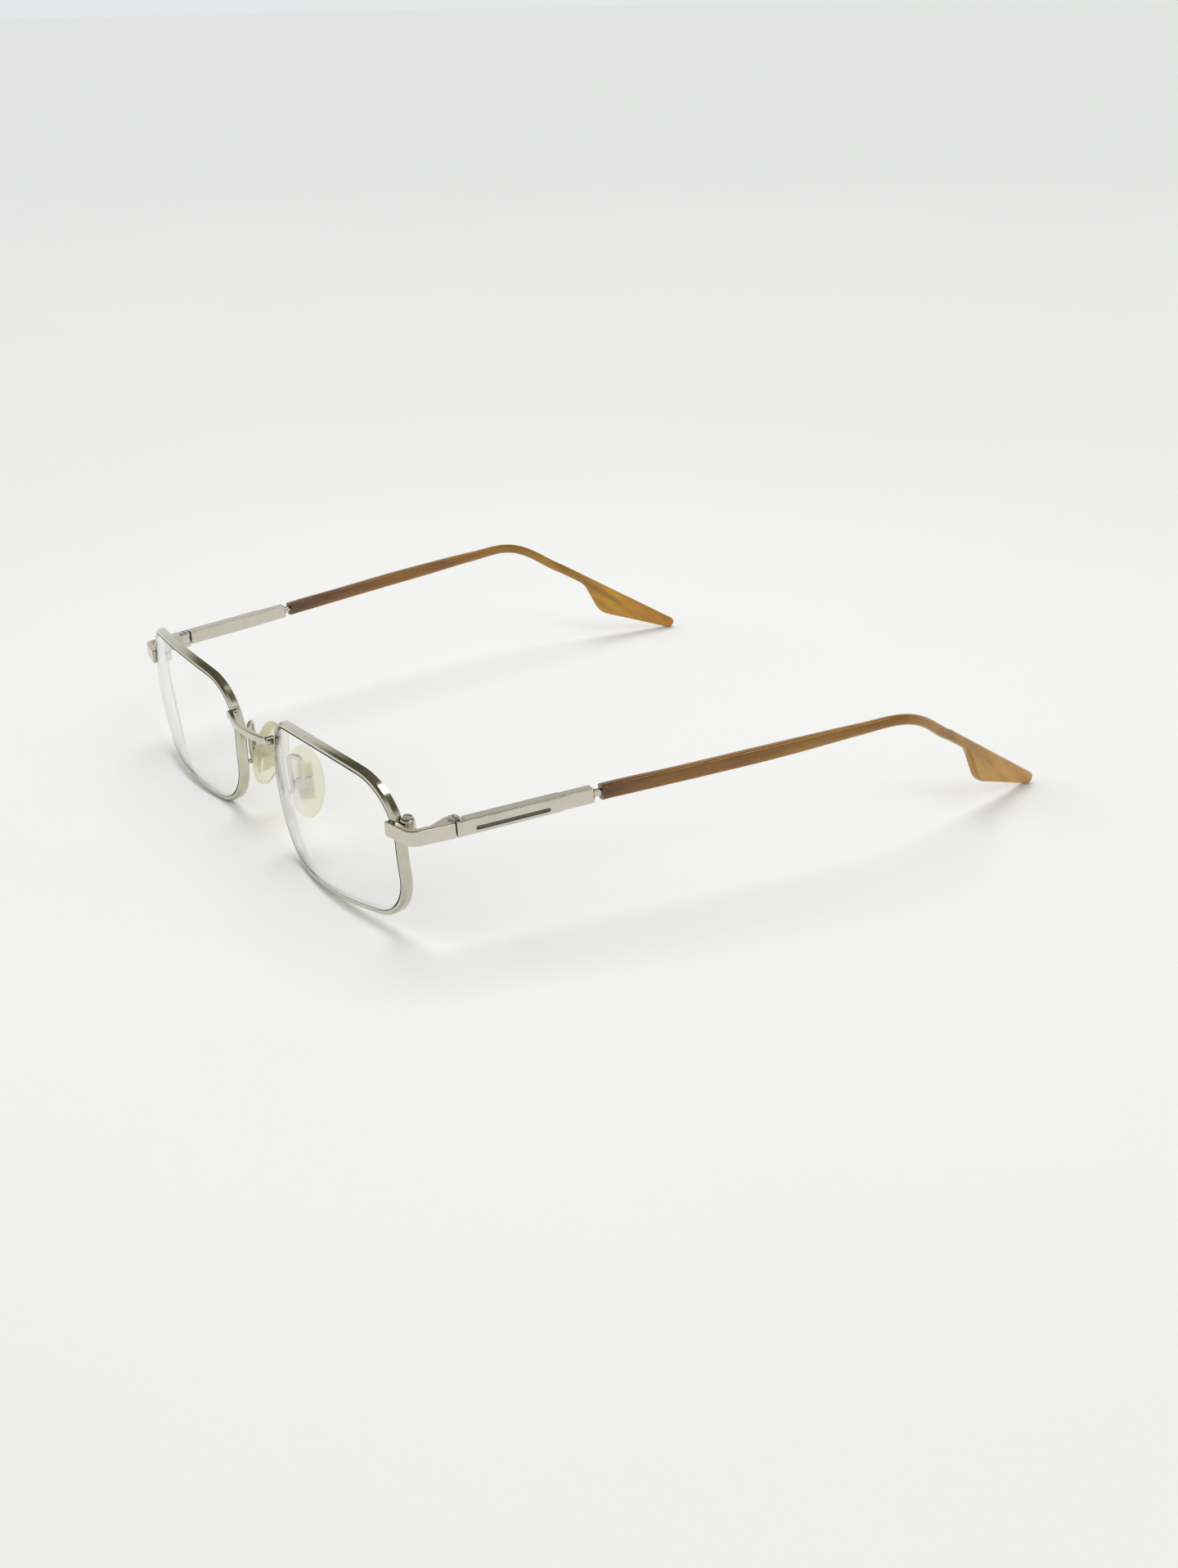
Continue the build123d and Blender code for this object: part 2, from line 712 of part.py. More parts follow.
# Pad arm, a bent wire from the back of the rim over a loop to the pad's box
arm_root = nasal_side(arm_start_level, solder_sink - rim_depth / 2)
arm_foot = arm_root + Vector(0, arm_start_run, 0)
arm_end = pad_middle + pad_out * (pad_base_start + pad_box_wall / 2)
arm_rise = arm_end + up * (pad_box_height / 2 - solder_sink)
arm_tops = [
    Vector(arm_foot.X, arm_foot.Y, arm_loop_level),
    Vector(arm_rise.X, arm_rise.Y, arm_loop_level),
]
with BuildPart() as pad_arm:
    with BuildLine() as arm_line:
        FilletPolyline(
            spot(arm_root), spot(arm_foot), spot(arm_tops[0]), spot(arm_tops[1]), spot(arm_rise),
            radius=[arm_foot_radius, arm_loop_radius, arm_loop_radius],
        )
    with BuildSketch(Plane(origin=arm_line.line @ 0, z_dir=arm_line.line % 0)):
        Circle(arm_radius)
    sweep(path=arm_line.line)
    add(rim_blank.part, mode=Mode.SUBTRACT)
    add(pad_box.part, mode=Mode.SUBTRACT)
left["pad_arm"] = pad_arm

# Bridge, a bar bowed to the front between two lugs on the rims' faces
bridge_level = lens_height * bridge_level_share
lug_seat = nasal_side(bridge_level, rim_depth / 2 - solder_sink)
lug_front = lug_seat - Vector(0, lug_length, 0)
bar_back_line = lug_front.Y + bridge_depth / 2 + lug_edge / 2
with BuildPart() as bridge:
    with BuildLine() as bridge_line:
        ThreePointArc(
            spot(Vector(-lug_seat.X, bar_back_line, bridge_level)),
            spot(Vector(0, bar_back_line - bridge_bow, bridge_level)),
            spot(Vector(lug_seat.X, bar_back_line, bridge_level)),
        )
    with BuildSketch(Plane(origin=bridge_line.line @ 0, x_dir=level.z_dir, z_dir=bridge_line.line % 0)):
        RectangleRounded(bridge_height, bridge_depth, bridge_edge)
    sweep(path=bridge_line.line)
    for side in (-1, 1):
        lug_plane = placed_plane(
            Vector(side * lug_front.X, lug_front.Y, bridge_level), Vector(1, 0, 0), Vector(0, 1, 0)
        )
        with BuildPart(mode=Mode.PRIVATE) as lug:
            with BuildSketch(lug_plane):
                Circle(lug_radius)
            extrude(amount=lug_length)
            rings = lug.edges().filter_by(GeomType.CIRCLE)
            fillet(rings.sort_by_distance(lug_plane.origin)[0], lug_edge)
        add(lug.part)
    add(rim_blank.part, mode=Mode.SUBTRACT)
    add(mirror(rim_blank.part, about=Plane.YZ, mode=Mode.PRIVATE), mode=Mode.SUBTRACT)
bridge.part.label = "bridge"
export_step(bridge.part, "parts/bridge.step")

# Each sided piece is kept as it is on the left and mirrored on the right
for name, piece in left.items():
    piece.part.label = name + "_left"
    export_step(piece.part, "parts/" + name + "_left.step")
    with BuildPart() as twin:
        mirror(piece.part, about=Plane.YZ)
    twin.part.label = name + "_right"
    export_step(twin.part, "parts/" + name + "_right.step")

print("lean", round(math.degrees(lean), 2), "eye level", round(eye_level, 2))
print("front at", round(-middle_back, 3), "hinge axis", spot(hinge_axis), heading(up))
print("temple slides along", heading(along))
print("pad pivot", spot(pad_middle + pad_out * pad_pivot_out), heading(pad_fore))
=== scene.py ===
# %% [markdown]
# # Square metal eyeglasses in Blender
# This lesson dresses a finished CAD model of a pair of metal eyeglasses. The model brings every
# solid piece in its true size: grooved rims, lenses, end pieces, sprung hinges, temple bars,
# sleeves and nose pads. What is left for Blender is how the pieces look: polished nickel silver,
# clear lens plastic, streaked acetate and pale silicone, in plain daylight on a pale table.
# The pieces could all be modelled again by hand, but the CAD solids already have the right shape.
# So they stay and only get a better material, all but the two springs inside the hinges, which
# are made again as meshes. Dark enamel in the slots of the spring boxes is added.

# %% Load the model
import json
import math

import bmesh
import bpy
from mathutils import Matrix, Vector


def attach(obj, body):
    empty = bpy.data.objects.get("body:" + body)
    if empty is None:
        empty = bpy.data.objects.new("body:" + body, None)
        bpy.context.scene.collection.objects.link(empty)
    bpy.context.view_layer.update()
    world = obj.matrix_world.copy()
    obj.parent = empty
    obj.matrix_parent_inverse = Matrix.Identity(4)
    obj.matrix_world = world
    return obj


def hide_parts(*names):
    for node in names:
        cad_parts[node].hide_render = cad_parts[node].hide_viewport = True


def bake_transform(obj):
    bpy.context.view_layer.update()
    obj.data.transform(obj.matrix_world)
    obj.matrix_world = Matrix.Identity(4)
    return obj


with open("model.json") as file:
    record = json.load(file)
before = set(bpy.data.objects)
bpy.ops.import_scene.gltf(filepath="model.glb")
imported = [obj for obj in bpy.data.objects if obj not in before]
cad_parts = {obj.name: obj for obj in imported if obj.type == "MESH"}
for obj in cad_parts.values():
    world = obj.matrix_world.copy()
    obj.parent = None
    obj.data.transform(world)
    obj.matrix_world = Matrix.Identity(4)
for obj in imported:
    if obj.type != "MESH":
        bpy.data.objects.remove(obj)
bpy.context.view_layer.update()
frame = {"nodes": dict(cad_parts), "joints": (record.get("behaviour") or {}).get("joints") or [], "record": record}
MM = 0.001
print("pieces from CAD:", len(frame["nodes"]))

# %% [markdown]
# ## The camera
# The glasses are seen from their left and a little from above, with the left temple running away
# to the right. A camera can be aimed with a Track To constraint, but the view also has a slight
# roll, so its three axes are written down here as directions: to the right of the picture, up
# the picture, and back from the glasses to the camera. The lens is a short portrait lens. Depth
# of field stays off, so that every piece is sharp in each view.

# %% Camera
camera_at = Vector((0.33290, -0.19741, 0.15149))
picture_right = Vector((0.52859, 0.84865, -0.01956))
picture_up = Vector((-0.31009, 0.21449, 0.92620))
picture_back = Vector((0.79022, -0.48351, 0.37653))
focal_length_mm = 44.21
sensor_width_mm = 36.0
nearest_seen = 0.01
camera_data = bpy.data.cameras.new("photo_camera")
camera_data.lens = focal_length_mm
camera_data.sensor_width = sensor_width_mm
camera_data.clip_start = nearest_seen
camera = bpy.data.objects.new("photo_camera", camera_data)
bpy.context.scene.collection.objects.link(camera)
axes = Matrix((picture_right, picture_up, picture_back)).transposed()
camera.matrix_world = Matrix.Translation(camera_at) @ axes.to_4x4()
bpy.context.scene.camera = camera
print("camera stands", round(camera_at.length, 3), "m from the middle of the floor")

# %% [markdown]
# ## Writing materials in few lines
# A material is a graph of nodes. Written out by hand, each node takes a line to make, a line for
# every value and a line for every link. Here one helper makes a node and another fills sockets
# from a dictionary: a value is set on the socket itself, and a node's output is linked to it.
# Values that are the same all over a surface are always set on the shader's own sockets, because
# an export reads them only there.

# %% Node helpers
def fill_sockets(material, node, inputs):
    """Sets each value on its socket, and links it there instead if it is a node's output."""
    for socket, value in inputs.items():
        if isinstance(value, bpy.types.NodeSocket):
            material.node_tree.links.new(value, node.inputs[socket])
        else:
            node.inputs[socket].default_value = value


def add_node(material, kind, inputs=None, **settings):
    made = material.node_tree.nodes.new(kind)
    for name, value in settings.items():
        setattr(made, name, value)
    fill_sockets(material, made, inputs or {})
    return made


def new_material(name):
    """A material, its shader, and the place of each point on the piece in metres."""
    material = bpy.data.materials.new(name)
    material.use_nodes = True
    material.node_tree.nodes.clear()
    shader = add_node(material, "ShaderNodeBsdfPrincipled")
    add_node(material, "ShaderNodeOutputMaterial", {"Surface": shader.outputs[0]})
    place = add_node(material, "ShaderNodeTexCoord").outputs["Object"]
    return material, shader, place


noise_roughness = 0.55


def noise(material, place, scale, detail=3.0, stretch=(1, 1, 1), turn=(0, 0, 0)):
    """Cloudy values from 0 to 1, with the scale in waves to the metre. The place is turned
    first and then stretched along each axis."""
    turned = add_node(material, "ShaderNodeMapping", {"Vector": place, "Rotation": turn})
    mapped = add_node(
        material, "ShaderNodeMapping", {"Vector": turned.outputs[0], "Scale": stretch}
    )
    made = add_node(
        material, "ShaderNodeTexNoise",
        {
            "Vector": mapped.outputs[0], "Scale": scale, "Detail": detail,
            "Roughness": noise_roughness,
        },
    )
    return made.outputs["Fac"]


def ramp(material, factor, stops):
    """A colour for each value of the factor. Stops are pairs of a position and a colour."""
    made = add_node(material, "ShaderNodeValToRGB", {"Fac": factor})
    elements = made.color_ramp.elements
    while len(elements) < len(stops):
        elements.new(0.5)
    for element, (position, colour) in zip(elements, stops):
        element.position = position
        element.color = (*colour, 1.0)
    return made.outputs["Color"]


def spread(material, factor, low, high, start=0.0, end=1.0):
    """The factor between start and end, spread from low to high."""
    made = add_node(
        material, "ShaderNodeMapRange",
        {"Value": factor, "From Min": start, "From Max": end, "To Min": low, "To Max": high},
    )
    return made.outputs["Result"]


def mix_colours(material, factor, first, second, way="MIX"):
    made = add_node(material, "ShaderNodeMix", data_type="RGBA", blend_type=way)
    for socket, value in (("Factor", factor), ("A", first), ("B", second)):
        found = [s for s in made.inputs if s.name == socket and s.enabled][0]
        if isinstance(value, bpy.types.NodeSocket):
            material.node_tree.links.new(value, found)
        else:
            found.default_value = value if socket == "Factor" else (*value, 1.0)
    return [s for s in made.outputs if s.enabled][0]


def bump(material, height, strength, distance):
    made = add_node(
        material, "ShaderNodeBump", {"Height": height, "Strength": strength, "Distance": distance}
    )
    return made.outputs[0]


crevice_samples = 8


def crevices(material, distance):
    """Close to 1 on open faces and lower where another face is near, as in a soldered corner."""
    made = add_node(
        material, "ShaderNodeAmbientOcclusion", {"Distance": distance}, samples=crevice_samples
    )
    return made.outputs["AO"]


print("helpers are ready")

# %% [markdown]
# ## Polished nickel silver
# The frame is nickel silver, polished by hand and plated. Such metal is a mirror with a warm
# grey tint: most of what the eye sees is the table, the lamps and the darker room above. The
# small things that keep it from looking like plastic foil are a faint cloudiness of the polish,
# fine buffing lines that blur the reflection, and painted shade, a deep brown, where one part
# meets another in a corner. The cloudiness and the lines come from noise, and the painted shade
# from how near the next face is. A photograph of metal wrapped round the wire would show seams.

# %% Metals
polish_clouds = 160.0
buffing_lines = 900.0
buffing_stretch = (6.0, 0.5, 6.0)
metal_grain = 5200.0
# How far away a face may be and still cast painted shade into a corner, in metres.
corner_shade_reach = 0.0007
lines_in_polish = 0.45
buffing_depth = 0.00003


def polished_metal(name, bright, shaded, corner_shade, smooth, blurred, line_turn):
    """A metal with a bright and a shaded tone, painted shade in its corners, and two roughnesses."""
    material, shader, place = new_material(name)
    clouds = noise(material, place, polish_clouds, 4.0)
    lines = noise(material, place, buffing_lines, 2.0, buffing_stretch, line_turn)
    grain = noise(material, place, metal_grain, 2.0)
    tone = ramp(material, clouds, [(0.35, shaded), (0.65, bright)])
    # Painted shade: the colour darkens towards a deep brown where another face is near.
    open_face = spread(material, crevices(material, corner_shade_reach), 0.0, 1.0, 0.15, 0.75)
    colour = mix_colours(material, open_face, corner_shade, tone)
    touch = mix_colours(material, lines_in_polish, clouds, lines)
    relief = mix_colours(material, 0.5, lines, grain)
    fill_sockets(material, shader, {
        "Base Color": colour,
        "Metallic": 1.0,
        "Roughness": spread(material, touch, smooth, blurred, 0.3, 0.7),
        "Normal": bump(material, relief, 0.06, buffing_depth),
    })
    return material


# The third colour of each metal, its deepest brown, is painted shade for the corners.
rim_metal = polished_metal(
    "rim_metal", bright=(0.62, 0.60, 0.50), shaded=(0.54, 0.52, 0.42), corner_shade=(0.10, 0.08, 0.05),
    smooth=0.08, blurred=0.20, line_turn=(0, 0, 0),
)
frame_metal = polished_metal(
    "frame_metal", bright=(0.66, 0.61, 0.53), shaded=(0.58, 0.54, 0.46), corner_shade=(0.12, 0.09, 0.06),
    smooth=0.14, blurred=0.28, line_turn=(0, 0, 0.11),
)
screw_steel = polished_metal(
    "screw_steel", bright=(0.66, 0.66, 0.62), shaded=(0.54, 0.54, 0.50), corner_shade=(0.10, 0.09, 0.07),
    smooth=0.12, blurred=0.30, line_turn=(0, 0, 0.8),
)
print("metals:", rim_metal.name, frame_metal.name, screw_steel.name)

# %% [markdown]
# ## Lens plastic
# The lenses are thin demonstration lenses of clear plastic, curved as the front is. Both faces
# are spheres about one centre, so they hardly bend what is seen through them, and only a faint
# grey-green tint and a soft reflection show that they are there. Real transmission does this
# well, because the lens is a closed solid with the thickness of a real one. A see-through shader
# alone is quicker, but loses the bright line at the edge. Cycles has one weakness here: glass
# stops the direct light of a lamp, and the lens would lie in a shadow of its own. For shadow
# rays alone the glass is therefore changed for a see-through shader. A light film of handling
# marks is left in the roughness.

# %% Lens material
def let_lamps_through(material, shader, tint):
    """Shadow rays pass through the piece with a slight tint, and all others meet the shader."""
    rays = add_node(material, "ShaderNodeLightPath")
    passed = add_node(material, "ShaderNodeBsdfTransparent", {"Color": (*tint, 1.0)})
    joined = add_node(material, "ShaderNodeMixShader", {0: rays.outputs["Is Shadow Ray"]})
    material.node_tree.links.new(shader.outputs[0], joined.inputs[1])
    material.node_tree.links.new(passed.outputs[0], joined.inputs[2])
    output = [n for n in material.node_tree.nodes if n.type == "OUTPUT_MATERIAL"][0]
    material.node_tree.links.new(joined.outputs[0], output.inputs["Surface"])


handling_marks = 90.0
tint_patches = 25.0
lens_shadow_tint = (0.975, 0.98, 0.975)


def lens_material():
    material, shader, place = new_material("lens_plastic")
    marks = noise(material, place, handling_marks, 5.0, (1.0, 1.0, 0.6))
    tint = noise(material, place, tint_patches, 1.0)
    colour = ramp(material, tint, [(0.3, (0.980, 0.986, 0.978)), (0.7, (0.988, 0.992, 0.986))])
    fill_sockets(material, shader, {
        "Base Color": colour,
        "Roughness": spread(material, marks, 0.0, 0.05, 0.5, 0.8),
        "IOR": 1.50,
        "Specular IOR Level": 0.35,
        "Transmission Weight": 1.0,
    })
    let_lamps_through(material, shader, lens_shadow_tint)
    return material


lens_plastic = lens_material()
print("lens:", lens_plastic.name)

# %% [markdown]
# ## Streaked acetate
# The sleeves are cut from brown acetate sheet whose colour runs in long streaks, dark where a
# sleeve leaves the metal and honey yellow at its tip. It is a little clear, so that some light
# passes through the thin blade and warms its colour. One noise stretched along the temple gives
# the streaks, and because the tip turns down behind the ear, a second one follows the tip, with
# a soft change at the bend. The colour then follows the distance from the front, from the start
# of the sleeve to its tip. Acetate is tumbled to a deep gloss, so a clear coat lies over it.

# %% Acetate material
bend_back = 0.032
bend_blend = 0.006
blade_fall = math.radians(34.0)
temple_rise = -0.05
streak_fineness = 420.0
straight_streaks = (1.5, 0.05, 1.5)
blade_streaks = (1.3, 0.07, 1.3)
sleeve_start_back = -0.033
sleeve_tip_back = 0.074
streak_depth = 0.00005


def acetate_material():
    material, shader, place = new_material("sleeve_acetate")
    parts = add_node(material, "ShaderNodeSeparateXYZ", {"Vector": place})
    back = parts.outputs["Y"]
    past_bend = spread(
        material, back, 0.0, 1.0, bend_back - bend_blend, bend_back + bend_blend
    )
    straight = noise(
        material, place, streak_fineness, 3.0, straight_streaks, (temple_rise, 0, 0)
    )
    fallen = noise(material, place, streak_fineness, 3.0, blade_streaks, (blade_fall, 0, 0))
    streaks = mix_colours(material, past_bend, straight, fallen)
    run = spread(material, back, 0.0, 1.0, sleeve_start_back, sleeve_tip_back)
    deep = ramp(material, run, [
        (0.0, (0.105, 0.032, 0.003)), (0.2, (0.220, 0.076, 0.004)), (0.55, (0.320, 0.128, 0.005)),
        (0.8, (0.410, 0.178, 0.006)), (1.0, (0.500, 0.198, 0.004)),
    ])
    light = ramp(material, run, [
        (0.0, (0.230, 0.086, 0.007)), (0.2, (0.430, 0.184, 0.012)), (0.55, (0.570, 0.285, 0.016)),
        (0.8, (0.700, 0.380, 0.018)), (1.0, (0.760, 0.372, 0.010)),
    ])
    share = spread(material, streaks, 0.0, 1.0, 0.30, 0.70)
    fill_sockets(material, shader, {
        "Base Color": mix_colours(material, share, deep, light),
        "Roughness": spread(material, streaks, 0.12, 0.22),
        "IOR": 1.48,
        "Transmission Weight": 0.45,
        "Coat Weight": 0.35,
        "Coat Roughness": 0.04,
        "Normal": bump(material, streaks, 0.05, streak_depth),
    })
    return material


sleeve_acetate = acetate_material()
print("acetate:", sleeve_acetate.name)

# %% [markdown]
# ## Silicone pads
# A nose pad is soft clear silicone that has yellowed a little, moulded round a harder plastic
# core. It lets light through but blurs it. Full subsurface scattering would be the textbook
# choice, yet on a piece two millimetres thick rough transmission looks the same and is quick.
# The yellow is uneven, stronger in patches, and the skin has a fine moulded grain.

# %% Pad materials
yellow_patches = 260.0
pad_shadow_tint = (0.90, 0.88, 0.76)


def soft_clear(name, pale, yellowed, roughness, clear, grain_fineness, grain_depth):
    """A yellowed clear plastic, with a blur that varies a fifth to either side."""
    material, shader, place = new_material(name)
    patches = noise(material, place, yellow_patches, 3.0)
    grain = noise(material, place, grain_fineness, 2.0)
    fill_sockets(material, shader, {
        "Base Color": ramp(material, patches, [(0.3, pale), (0.7, yellowed)]),
        "Roughness": spread(material, grain, roughness * 0.8, roughness * 1.2),
        "IOR": 1.41,
        "Transmission Weight": clear,
        "Normal": bump(material, grain, 0.12, grain_depth),
    })
    let_lamps_through(material, shader, pad_shadow_tint)
    return material


pad_silicone = soft_clear(
    "pad_silicone", pale=(0.97, 0.95, 0.82), yellowed=(0.96, 0.91, 0.66),
    roughness=0.30, clear=0.80, grain_fineness=3000.0, grain_depth=0.00005,
)
pad_core_plastic = soft_clear(
    "pad_core_plastic", pale=(0.95, 0.94, 0.88), yellowed=(0.92, 0.90, 0.78),
    roughness=0.16, clear=0.85, grain_fineness=6000.0, grain_depth=0.00002,
)
print("pads:", pad_silicone.name, pad_core_plastic.name)

# %% [markdown]
# ## Giving the CAD pieces their finish
# The record of the model says for each piece which material slot it takes. A table from slot to
# Blender material is all that is needed then: each piece keeps its mesh, and the material goes
# into its slots.

# %% Finishes
finishes = {
    "rim_metal": rim_metal,
    "polished_metal": frame_metal,
    "screw_steel": screw_steel,
    "lens_plastic": lens_plastic,
    "sleeve_acetate": sleeve_acetate,
    "pad_silicone": pad_silicone,
    "pad_silicone_core": pad_core_plastic,
}
slot_of = {part["node"]: part["material_slot"] for part in frame["record"]["subparts"]}
for name, piece in frame["nodes"].items():
    for place_for_material in piece.material_slots:
        place_for_material.material = finishes[slot_of[name]]
print("finished pieces:", len(slot_of))

# %% [markdown]
# ## Finding the hinges
# The next pieces sit inside and on the spring box of each temple. Their places are easiest to
# say in the box's own directions: outwards, back along the temple, and up, counted from the
# hinge pin. The joints of the model give all three, so nothing has to be measured again.

# %% Directions at each hinge
joints = {joint["name"]: joint for joint in frame["joints"]}


def hinge_place(side):
    """A function from millimetres outwards, back and up at a hinge to a point in metres."""
    pin = Vector(joints[f"fold_{side}"]["pos_m"])
    rise = Vector(joints[f"fold_{side}"]["axis"]).normalized()
    back = Vector(joints[f"flex_{side}"]["axis"]).normalized()
    outwards = back.cross(rise) * (1 if side == "left" else -1)
    return lambda out, along, high: pin + (outwards * out + back * along + rise * high) * MM


for side in ("left", "right"):
    print(side, "hinge at", [round(v, 4) for v in hinge_place(side)(0, 0, 0)])

# %% [markdown]
# ## Making new meshes
# Both new kinds of piece are skins over rings of points: the wire of a spring has a small ring at
# each step along its helix, and the enamel has rings that lie inside each other. One function
# joins the rings, and another makes the object. Blender's own tubes and fills would do the same,
# but their points then depend on the tool's settings.

# %% Mesh helpers
def faces_between_rings(ring_count, around):
    """Faces that join rings of equally many points to a skin, with a cap at either end."""
    faces = []
    for ring in range(ring_count - 1):
        here, there = ring * around, (ring + 1) * around
        for step in range(around):
            after = (step + 1) % around
            faces.append((here + step, here + after, there + after, there + step))
    last = (ring_count - 1) * around
    faces.append(tuple(range(around)))
    faces.append(tuple(range(last, last + around)))
    return faces


def new_piece(name, points, faces, material, smooth=True):
    """A mesh with its faces turned outwards, as an object of this name."""
    mesh = bpy.data.meshes.new(name)
    mesh.from_pydata(points, [], faces)
    shape = bmesh.new()
    shape.from_mesh(mesh)
    bmesh.ops.recalc_face_normals(shape, faces=shape.faces)
    shape.to_mesh(mesh)
    shape.free()
    for face in mesh.polygons:
        face.use_smooth = smooth
    mesh.materials.append(material)
    piece = bpy.data.objects.new(name, mesh)
    bpy.context.scene.collection.objects.link(piece)
    return piece


print("mesh helpers are ready")

# %% [markdown]
# ## The coil springs
# A spring round a rod pulls each temple against its end piece, and it is pressed together as the
# temple opens too far. The coil is made as a mesh tube along a helix, with its end turns wound
# close as a real compression spring has them, and it lies between the rod's head and the stop in
# the box. A curve with a round bevel gives the same wire.

# %% Coil springs
wire_radius = 0.08
coil_radius = 0.56
coil_turns = 10
coil_middle = 0.95
spring_from = 6.89
spring_to = 12.69
coil_from = spring_from + wire_radius
coil_to = spring_to - wire_radius
end_closeness = 0.33
steps_in_turn = 28
points_round_wire = 8


def coil_line():
    """Points of the wire's middle, in millimetres from the hinge pin. The end turns lie close."""
    line = []
    for step in range(coil_turns * steps_in_turn + 1):
        turned = step / steps_in_turn
        share = turned / coil_turns
        eased = share - end_closeness * math.sin(2 * math.pi * share) / (2 * math.pi)
        angle = 2 * math.pi * turned
        line.append(Vector((
            coil_middle + coil_radius * math.cos(angle),
            coil_from + (coil_to - coil_from) * min(max(eased, 0), 1),
            coil_radius * math.sin(angle),
        )))
    return line


def wire_tube(line, radius, round_count):
    """The points and faces of a tube along the line, closed at both ends."""
    points = []
    for place, middle in enumerate(line):
        ahead = (line[min(place + 1, len(line) - 1)] - line[max(place - 1, 0)]).normalized()
        from_axis = Vector((middle.x - coil_middle, 0, middle.z)).normalized()
        level = ahead.cross(from_axis).normalized()
        for spoke in range(round_count):
            angle = 2 * math.pi * spoke / round_count
            points.append(middle + (from_axis * math.cos(angle) + level * math.sin(angle)) * radius)
    return points, faces_between_rings(len(line), round_count)


for side in ("left", "right"):
    at = hinge_place(side)
    tube_points, tube_faces = wire_tube(coil_line(), wire_radius, points_round_wire)
    coil = new_piece(
        f"coil_spring_{side}", [at(*point) for point in tube_points], tube_faces, screw_steel
    )
    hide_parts(f"hinge_spring_{side}")
    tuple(at(coil_middle, coil_to, 0))
    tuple(at(coil_middle, coil_from, 0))
    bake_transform(coil)
    print(coil.name, len(coil.data.vertices), "points")

# %% [markdown]
# ## Dark enamel in the slot
# The long slot along each spring box is filled with dark enamel that sits below the metal face.
# Painting the floor of the slot in the metal's material would need a mask, and the enamel has a
# body of its own: it wets the walls of the slot and sinks a little in the middle. So it is a
# thin mesh of rings, shaped as the slot, lower on each ring towards the middle.

# %% Enamel
slot_middle_back = 10.2
slot_middle_high = -0.4
slot_floor_out = 1.95
slot_length = 13.94
slot_height = 0.69
enamel_lift = 0.01
enamel_rings = ((1.0, 0.0), (1.0, 0.17), (0.8, 0.13), (0.5, 0.11))
enamel_clouds = 700.0
enamel_depth = 0.00004
round_steps = 10


def slot_outline(share):
    """Points round a slot of this share of the height, as back and high from its middle."""
    radius = slot_height / 2 * share
    straight = (slot_length - slot_height) / 2
    outline = []
    for end in (1, -1):
        for step in range(round_steps + 1):
            angle = math.pi * (step / round_steps - 0.5)
            outline.append((
                end * (straight + radius * math.cos(angle)), end * radius * math.sin(angle)
            ))
    return outline


def enamel_material():
    material, shader, place = new_material("slot_enamel")
    clouds = noise(material, place, enamel_clouds, 4.0)
    colour = ramp(material, clouds, [(0.35, (0.070, 0.060, 0.042)), (0.7, (0.130, 0.115, 0.085))])
    fill_sockets(material, shader, {
        "Base Color": colour,
        "Roughness": spread(material, clouds, 0.18, 0.42),
        "Normal": bump(material, clouds, 0.2, enamel_depth),
    })
    return material


slot_enamel = enamel_material()
for side in ("left", "right"):
    at = hinge_place(side)
    enamel_points = [
        at(
            slot_floor_out + enamel_lift + rise, slot_middle_back + back, slot_middle_high + high
        )
        for share, rise in enamel_rings
        for back, high in slot_outline(share)
    ]
    enamel_faces = faces_between_rings(len(enamel_rings), 2 * (round_steps + 1))
    enamel = new_piece(f"slot_enamel_{side}", enamel_points, enamel_faces, slot_enamel)
    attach(enamel, f"temple_{side}")
    print(enamel.name, len(enamel.data.polygons), "faces")

# %% [markdown]
# ## The table
# The glasses stand on a smooth white table that runs out of the picture on all sides. A plain
# large plane is enough, since nothing of its edge is seen. Its paint is off-white with a very
# slight unevenness, so that the soft shadows under the temples have something to lie on. Light
# from a real window fades with distance, and the lamps of this scene don't, so the paint does
# it for them: it turns a little darker with the distance from the glasses.

# %% Table
table_reach = 60.0
brightest_spot = (-0.03, 0.03, 0.0)
fade_reach = 2.0
paint_patches = 5.0
paint_grain = 1500.0
paint_depth = 0.00005


def table_material():
    material, shader, place = new_material("table_white")
    patches = noise(material, place, paint_patches, 3.0)
    grain = noise(material, place, paint_grain, 2.0)
    paint = ramp(material, patches, [(0.3, (0.930, 0.930, 0.925)), (0.7, (0.945, 0.945, 0.940))])
    away = add_node(
        material, "ShaderNodeVectorMath", {0: place, 1: brightest_spot}, operation="DISTANCE"
    ).outputs["Value"]
    fade = ramp(material, spread(material, away, 0.0, 1.0, 0.0, fade_reach), [
        (0.0, (1.0, 1.0, 1.0)), (0.04, (0.995, 0.995, 0.995)), (0.08, (0.965, 0.967, 0.965)),
        (0.13, (0.935, 0.935, 0.930)), (0.18, (0.915, 0.918, 0.920)), (0.8, (0.835, 0.842, 0.848)),
    ])
    fill_sockets(material, shader, {
        "Base Color": mix_colours(material, 1.0, paint, fade, "MULTIPLY"),
        "Roughness": 0.7,
        "Specular IOR Level": 0.2,
        "Normal": bump(material, grain, 0.03, paint_depth),
    })
    return material


table_corners = [
    Vector((x * table_reach, y * table_reach, 0)) for x, y in ((-1, -1), (1, -1), (1, 1), (-1, 1))
]
table = new_piece("table", table_corners, [(0, 1, 2, 3)], table_material(), smooth=False)
print("table reaches", table_reach, "m from the glasses")

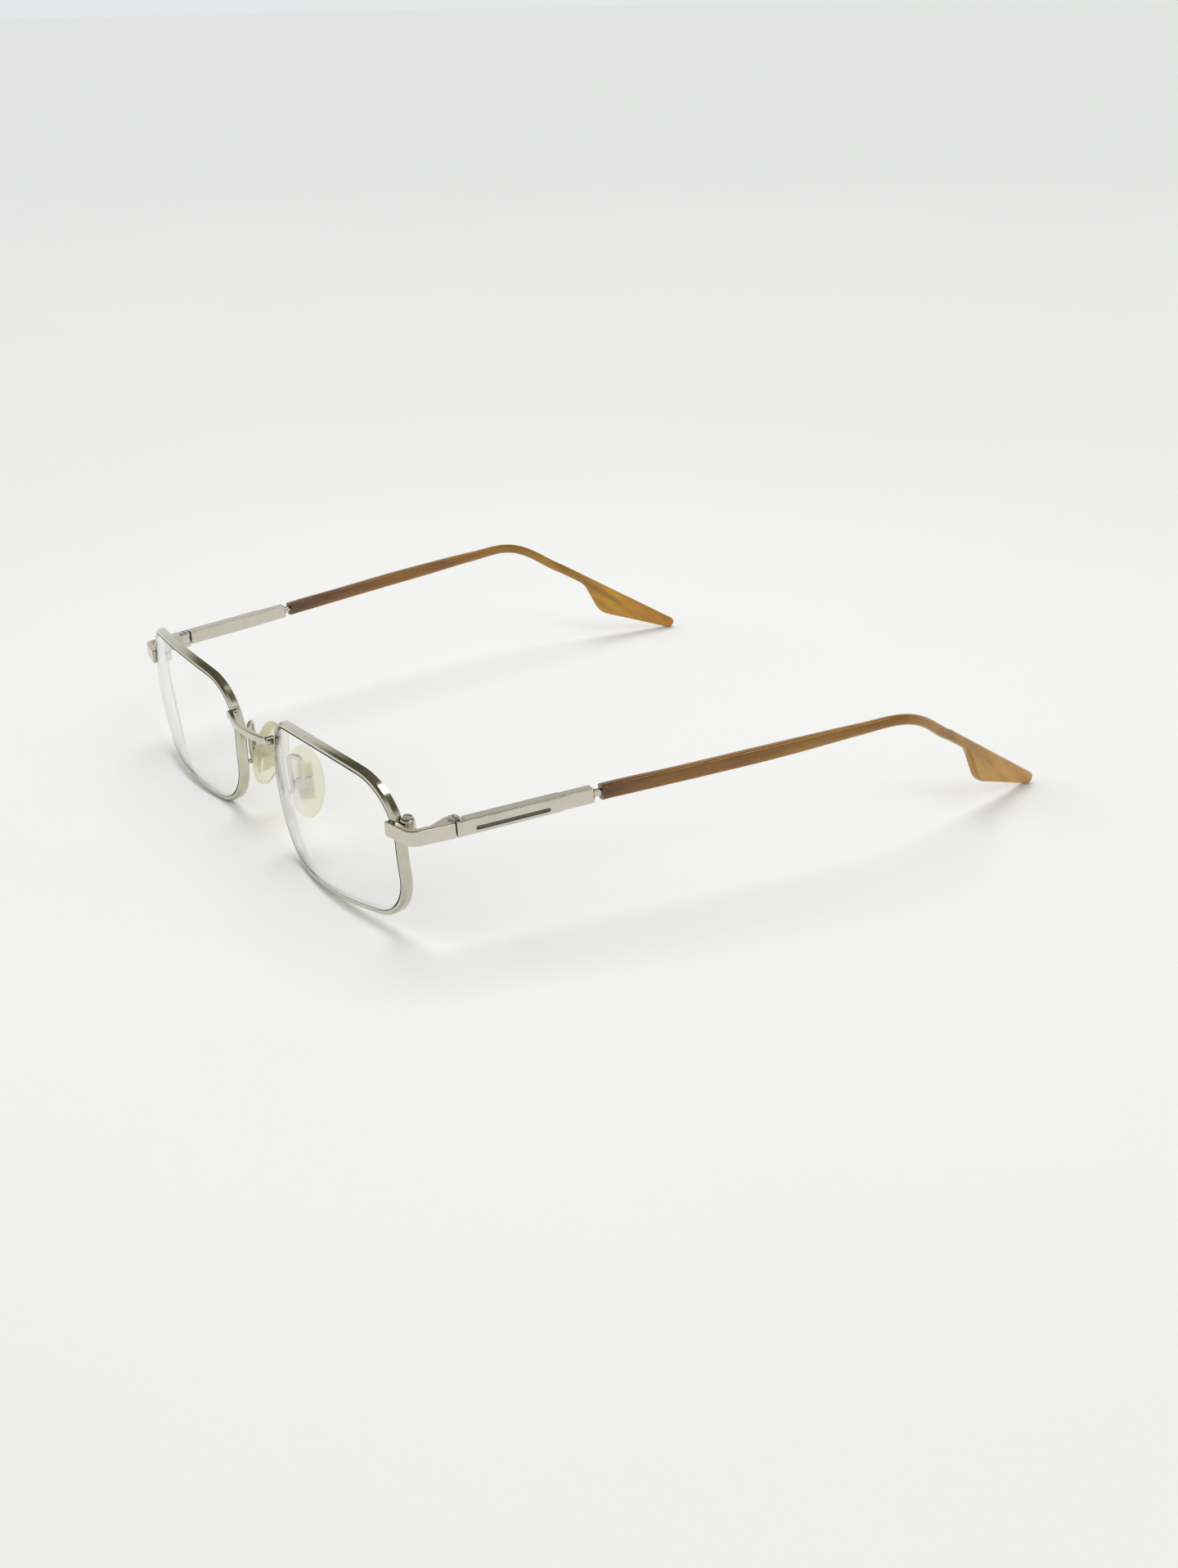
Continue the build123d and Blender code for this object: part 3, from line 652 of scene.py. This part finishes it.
# %% [markdown]
# ## Light
# The light comes from wide windows on three sides, so that every shadow is faint and soft. The
# strongest stands high behind the glasses, and lays the shadows of the temples below them and a
# little towards the camera.
# The room above is darker than the walls, and polished metal shows that: the tops of the rims
# turn olive brown while their sides stay pale. The sky of the scene therefore runs from pale at
# the horizon to a dim olive overhead. Area lamps would fade over the table, so the windows are
# suns with a wide angle, which light the whole table alike. The three windows are left out of
# reflections, where they would wipe out the dark lines that give a polished wire its shape. Two
# small lamps are seen there instead, and put a white gleam on the shoulders of the rims. The one
# above does nothing else, so that it throws no sharp shadow. No sun is met a second time through
# the glass, which already lets its light through.

# %% Sky and windows
world = bpy.data.worlds.new("room")
bpy.context.scene.world = world
world.use_nodes = True
world.node_tree.nodes.clear()
direction = add_node(world, "ShaderNodeTexCoord").outputs["Generated"]
height = add_node(world, "ShaderNodeSeparateXYZ", {"Vector": direction}).outputs["Z"]
sky = ramp(world, height, [
    (0.0, (0.78, 0.80, 0.81)), (0.25, (0.82, 0.83, 0.82)), (0.43, (0.74, 0.74, 0.69)),
    (0.58, (0.11, 0.10, 0.07)), (1.0, (0.16, 0.15, 0.12)),
])
room = add_node(world, "ShaderNodeBackground", {"Color": sky, "Strength": 1.0})
add_node(world, "ShaderNodeOutputWorld", {"Surface": room.outputs[0]})


daylight = (0.96, 0.98, 1.0)
lamp_white = (0.98, 0.99, 1.0)


def wide_sun(name, towards, strength, angle, colour, in_reflections):
    """A wide sun that shines from the given direction, and is seen in reflections or not."""
    light = bpy.data.lights.new(name, "SUN")
    light.energy = strength
    light.angle = math.radians(angle)
    light.color = colour
    lamp = bpy.data.objects.new(name, light)
    lamp.rotation_euler = Vector(towards).to_track_quat("Z", "Y").to_euler()
    lamp.visible_glossy = in_reflections
    lamp.visible_transmission = False
    bpy.context.scene.collection.objects.link(lamp)
    return lamp


wide_sun("window_behind", (-0.39, 0.24, 0.89), 1.38, 40.0, daylight, False)
wide_sun("window_front", (-0.45, -0.75, 0.60), 0.82, 60.0, daylight, False)
wide_sun("window_side", (0.55, 0.35, 0.75), 0.52, 60.0, daylight, False)
lamp_above = wide_sun("lamp_above", (0.18, 0.41, 0.90), 0.28, 18.0, lamp_white, True)
lamp_above.visible_diffuse = False
wide_sun("lamp_right", (0.72, 0.02, 0.62), 0.32, 22.0, lamp_white, True)
bpy.context.scene.view_settings.view_transform = "Standard"
